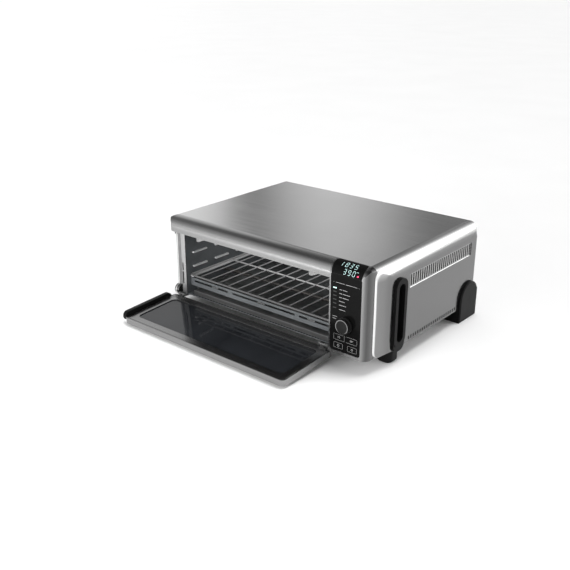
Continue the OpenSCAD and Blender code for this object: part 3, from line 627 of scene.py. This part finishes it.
# Printed strokes that stand for the words and marks of the panel
PRINT_LEFT, HEADING_V = 167.5, -12.6
HEADING = (  # left and right end and width of each stroke
    (PRINT_LEFT, 169.2, 0.4), (172.5, 190.0, 0.75), (192.8, 215.5, 0.75), (218.5, 220.2, 0.4),
)
MODE_LEFT, WORD_GAP = 179.8, 1.6
MODES = (  # height of each row on the fascia, and the right ends of its words
    (-24.0, (185.5, 196.0)), (-31.0, (185.5, 202.0)), (-38.0, (185.5, 199.0)),
    (-45.0, (191.0,)), (-52.0, (194.0,)), (-60.0, (193.0,)),
)
DIAL_WORDS = ((96.5, 176.5), (92.3, 174.5))  # height above the floor and right end of each
bm = bmesh.new()
for x0, x1, width in HEADING:
    ribbon(bm, [(x0, HEADING_V), (x1, HEADING_V)], width, on_fascia)
for row, stops in MODES:
    start = MODE_LEFT
    for stop in stops:
        ribbon(bm, [(start, row), (stop, row)], 0.9, on_fascia)
        start = stop + WORD_GAP
for z, x1 in DIAL_WORDS:
    ribbon(bm, [(PRINT_LEFT, z - NOSE_Z), (x1, z - NOSE_Z)], 0.7, on_fascia)
piece("panel_print", bm, "oven_body", PRINT)

LIGHT_ENDS, LIGHT_WIDTH, LIGHT_RISE = (167.2, 174.2), 1.9, 1.2  # rise above its row of words
mode_rows = [row for row, _ in MODES]
for name, rows, look in (("mode_light", mode_rows[:1], DISPLAY_WHITE),
                         ("mode_lights_off", mode_rows[1:], PRINT_DIM)):
    bm = bmesh.new()
    for row in rows:
        ribbon(bm, [(x, row + LIGHT_RISE) for x in LIGHT_ENDS], LIGHT_WIDTH, on_fascia)
    piece(name, bm, "oven_body", look)


# ---------------------------------------------------------------------- keys

KEY_MARGIN = 1.8     # from the edge of a key's hidden flange to its printed outline
KEY_OUTLINE_R = 1.4
KEY_LINE = 0.3


def key_marks(button, body, symbol, open_side=0):
    """A printed outline and a plain symbol on a key's face; two neighbouring keys share one
    outline, so each leaves it open on one side, -1 left or 1 right, up to the line between."""
    low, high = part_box(button)
    x0, x1 = low.x / MM + KEY_MARGIN, high.x / MM - KEY_MARGIN
    z0, z1 = low.z / MM + KEY_MARGIN, high.z / MM - KEY_MARGIN
    cx, cz = (x0 + x1) / 2, (z0 + z1) / 2
    r = KEY_OUTLINE_R
    outline = bmesh.new()
    if open_side:
        near, far = (x1 + 0.5, x0) if open_side > 0 else (x0 - 0.5, x1)
        bend = r * open_side
        ribbon(outline, [(near, z0), (far + bend, z0), (far + bend * 0.3, z0 + 0.4), (far, z0 + r),
                         (far, z1 - r), (far + bend * 0.3, z1 - 0.4), (far + bend, z1),
                         (near, z1)], KEY_LINE, on_key)
        if open_side > 0:
            ribbon(outline, [(near, z0), (near, z1)], KEY_LINE, on_key)
    else:
        ribbon(outline, round_path(x0, z0, x1, z1, r), KEY_LINE, on_key, closed=True)
    for path, width in symbol:
        ribbon(outline, [(cx + a, cz + b) for a, b in path], width, on_key, step=0.4)
    piece(button + "_print", outline, body, PRINT)


def ring_path(r, start, stop, steps=14):
    return [(r * math.cos(math.radians(start + (stop - start) * i / steps)),
             r * math.sin(math.radians(start + (stop - start) * i / steps)))
            for i in range(steps + 1)]


key_marks("time_button", "time_key",
          [(ring_path(2.1, -60, 240), 0.55), ([(0, 0), (0, 1.4)], 0.5), ([(0, 0), (1.0, 0)], 0.5)],
          open_side=1)
key_marks("temp_button", "temp_key",
          [([(-3.4, 0.9), (3.0, 0.9)], 0.8), ([(-3.4, -1.0), (1.2, -1.0)], 0.8)],
          open_side=-1)
key_marks("power_button", "power_key",
          [(ring_path(1.9, 120, 420), 0.6), ([(0, 0.6), (0, 2.6)], 0.6)])
key_marks("light_button", "light_key",
          [(ring_path(1.5, -50, 230), 0.6), ([(-0.7, -1.9), (0.7, -1.9)], 0.6)])


# ------------------------------------------------------------- door and tray

def bead(outline, width, height, surface):
    """A raised line round an outline on a surface."""
    bm = bmesh.new()
    ribbon(bm, outline, width, surface, height, closed=True, step=30)
    return bm


def on_door(u, v, lift):
    """The inner face of the closed door."""
    return Vector((u, DOOR_INNER_Y + lift, v))


def on_tray(u, v, lift):
    return Vector((u, v, TRAY_TOP / MM + lift))


# Round the closed door's inner face, and turned open with it
DOOR_EDGES = (-243.0, 28.0, 158.0, 162.0)  # x and z of its lower left and upper right corner
DOOR_INNER_Y, DOOR_CORNER_R, DOOR_INSET = -10.0, 9.0, 3.4
x0, z0, x1, z1 = DOOR_EDGES
door_outline = round_path(x0 + DOOR_INSET, z0 + DOOR_INSET, x1 - DOOR_INSET, z1 - DOOR_INSET,
                          DOOR_CORNER_R - DOOR_INSET)
piece("door_bead", bead(door_outline, 1.3, 0.45, on_door), "door", DOOR_STEEL,
      OPENED @ CASING)

# Round the sunken middle of the crumb tray
TRAY_INSET_X, TRAY_INSET_Y, TRAY_CORNER_R = 36.5, 26.5, 8
low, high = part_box("crumb_tray")
tray_outline = round_path(low.x / MM + TRAY_INSET_X, (low.y - SEAM_Y) / MM + TRAY_INSET_Y,
                          high.x / MM - TRAY_INSET_X, (high.y - SEAM_Y) / MM - TRAY_INSET_Y,
                          TRAY_CORNER_R)
piece("tray_bead", bead(tray_outline, 1.6, 0.5, on_tray), "tray", TRAY)


# ------------------------------------------------------- floor, light, camera

floor_shader = Shader("pale_floor", Roughness=0.6)
dust = floor_shader.noise(3.0, detail=4)
floor_shader.colour(dust, (0.3, grey(0.80)), (0.7, grey(0.82)))
FLOOR_REACH = 40  # metres from the floor's middle to each edge
bm = bmesh.new()
bmesh.ops.create_grid(bm, x_segments=8, y_segments=8, size=FLOOR_REACH)
floor_mesh = bpy.data.meshes.new("floor")
bm.to_mesh(floor_mesh)
bm.free()
floor_mesh.materials.append(floor_shader.mat)
floor = bpy.data.objects.new("floor", floor_mesh)
bpy.context.scene.collection.objects.link(floor)

# The studio around the oven: brightness by compass direction, in degrees from
# +X towards +Y, times a fall-off by height, as sines of the angle above the floor
AROUND = (
    (-180, 0.75), (-160, 0.52), (-140, 0.7), (-130, 0.8), (-124, 0.9), (-90, 0.9), (-50, 0.8),
    (0, 1.0), (24, 1.7), (40, 3.8), (56, 3.8), (76, 1.1), (100, 0.5), (118, 0.25), (120, 0.27),
    (121.2, 0.42), (122.5, 0.59), (124.0, 0.75), (126.0, 0.87), (127.8, 0.83), (129.0, 0.74),
    (130.2, 0.57), (131.3, 0.38), (132.4, 0.22), (133.3, 0.16), (134.3, 0.85), (135.5, 1.1),
    (142, 1.25), (155, 1.45), (180, 0.75),
)
UPWARDS = (
    (0.0, 1.6), (0.09, 1.3), (0.17, 1.1), (0.29, 1.0), (0.36, 0.9), (0.45, 0.75), (0.62, 0.5),
    (0.72, 0.26), (0.79, 0.14), (0.87, 0.16), (0.95, 0.6), (1.0, 1.0),
)


def grey_ramp(tree, fac, stops, top):
    """A grey ramp through (position, value) stops, scaled down by the highest value."""
    node = tree.nodes.new("ShaderNodeValToRGB")
    elements = node.color_ramp.elements
    while len(elements) < len(stops):
        elements.new(0.5)
    for element, (position, value) in zip(elements, stops):
        element.position = position
        element.color = (value / top, value / top, value / top, 1)
    tree.links.new(fac, node.inputs["Fac"])
    return node.outputs["Color"]


world = bpy.data.worlds.new("studio")
bpy.context.scene.world = world
world.use_nodes = True
tree = world.node_tree
coordinates = tree.nodes.new("ShaderNodeTexCoord")
split = tree.nodes.new("ShaderNodeSeparateXYZ")
tree.links.new(coordinates.outputs["Generated"], split.inputs["Vector"])
compass = tree.nodes.new("ShaderNodeMath")
compass.operation = "ARCTAN2"
tree.links.new(split.outputs["Y"], compass.inputs[0])
tree.links.new(split.outputs["X"], compass.inputs[1])
turn = tree.nodes.new("ShaderNodeMapRange")
turn.inputs["From Min"].default_value = -math.pi
turn.inputs["From Max"].default_value = math.pi
tree.links.new(compass.outputs["Value"], turn.inputs["Value"])
around_top = max(v for _, v in AROUND)
upwards_top = max(v for _, v in UPWARDS)
around = grey_ramp(tree, turn.outputs["Result"], [(a / 360 + 0.5, v) for a, v in AROUND],
                   around_top)
upwards = grey_ramp(tree, split.outputs["Z"], UPWARDS, upwards_top)
both = tree.nodes.new("ShaderNodeMix")
both.data_type = "RGBA"
both.blend_type = "MULTIPLY"
both.inputs["Factor"].default_value = 1.0
tree.links.new(around, both.inputs["A"])
tree.links.new(upwards, both.inputs["B"])
tree.links.new(both.outputs["Result"], tree.nodes["Background"].inputs["Color"])
tree.nodes["Background"].inputs["Strength"].default_value = around_top * upwards_top
bpy.context.scene.view_settings.view_transform = "Standard"


def soft_light(name, place, aim, size, watts):
    data = bpy.data.lights.new(name, "AREA")
    data.shape = "RECTANGLE"
    data.size, data.size_y = size
    data.energy = watts
    light = bpy.data.objects.new(name, data)
    light.location = place
    light.rotation_euler = (Vector(aim) - Vector(place)).to_track_quat("-Z", "Y").to_euler()
    bpy.context.scene.collection.objects.link(light)
    return light


FILL_PLACE, FILL_AIM, FILL_SIZE, FILL_WATTS = (-0.2, -1.3, 0.32), (-0.03, 0, 0.1), (1.0, 0.4), 20
fill = soft_light("front_fill", FILL_PLACE, FILL_AIM, FILL_SIZE, FILL_WATTS)
fill.visible_glossy = False

LAMP_DROP, LAMP_SIZE, LAMP_WATTS = 4 * MM, (0.28, 0.2), 0.3  # drop below the cavity's ceiling
low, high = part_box("cavity_ceiling")
middle = (low + high) / 2
lamp = soft_light("oven_lamp", (middle.x, middle.y, low.z - LAMP_DROP), (middle.x, middle.y, 0),
                  LAMP_SIZE, LAMP_WATTS)
lamp.visible_glossy = False
lamp.visible_camera = False

SUN_FROM, SUN_STRENGTH, SUN_WIDTH = (0.08, 0.22, 1.0), 2.1, math.radians(34)
sky = bpy.data.lights.new("overhead", "SUN")
sky.energy = SUN_STRENGTH
sky.angle = SUN_WIDTH
overhead = bpy.data.objects.new("overhead", sky)
overhead.rotation_euler = Vector(SUN_FROM).to_track_quat("Z", "Y").to_euler()
overhead.visible_glossy = False
bpy.context.scene.collection.objects.link(overhead)

# The photograph's viewpoint: to the right of the front, looking down
VIEW_TURN, VIEW_DOWN = math.radians(40), math.radians(21.93)
VIEW_PLACE, VIEW_LENS = (0.90755, -1.13061, 0.654), 50.97
camera = bpy.data.objects.new("camera", bpy.data.cameras.new("camera"))
camera.data.sensor_width = 36
camera.data.lens = VIEW_LENS
camera.location = VIEW_PLACE
camera.rotation_mode = "QUATERNION"
camera.rotation_quaternion = Vector((
    -math.sin(VIEW_TURN) * math.cos(VIEW_DOWN), math.cos(VIEW_TURN) * math.cos(VIEW_DOWN),
    -math.sin(VIEW_DOWN))).to_track_quat("-Z", "Y")
bpy.context.scene.collection.objects.link(camera)
bpy.context.scene.camera = camera
